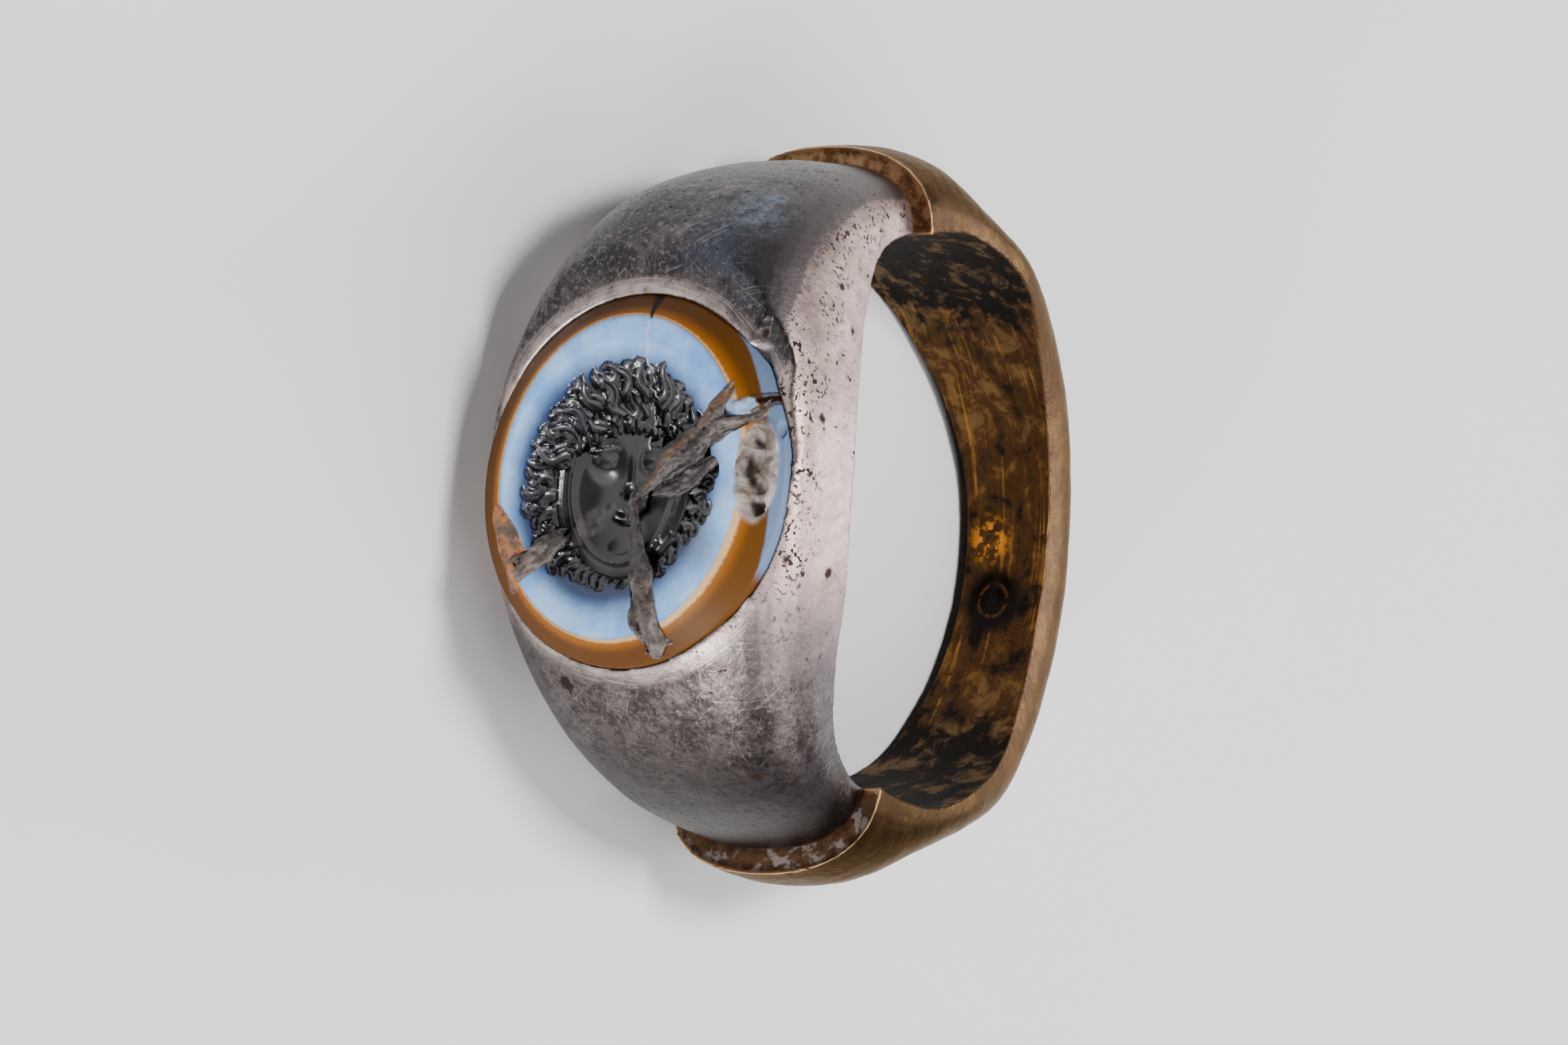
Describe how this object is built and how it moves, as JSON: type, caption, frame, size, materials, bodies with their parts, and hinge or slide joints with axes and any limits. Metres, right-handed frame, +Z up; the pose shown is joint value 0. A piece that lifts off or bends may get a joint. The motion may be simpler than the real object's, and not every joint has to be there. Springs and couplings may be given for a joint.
{
  "type": "engraved stone finger ring lying on its side",
  "caption": "Finger ring with a gilt hoop, a heavy silver head and a banded round stone engraved with a frontal curly-haired head.",
  "frame": {"origin": "on the floor, under the middle of the ring's plan as it lies on its side", "axes": "+Z up, -Y the way the stone faces, X across the ring, with the engraved head's hair towards -X"},
  "size_m": [0.025, 0.0248, 0.0134],
  "materials": {
    "gilt_metal": "worn, with dark patina inside",
    "silver": "dark tarnished, scratched and pitted",
    "banded_stone": "polished"
  },
  "bodies": {
    "root": {"hoop": "gilt_metal", "head": "silver", "stone": "banded_stone"}
  },
  "joints": []
}
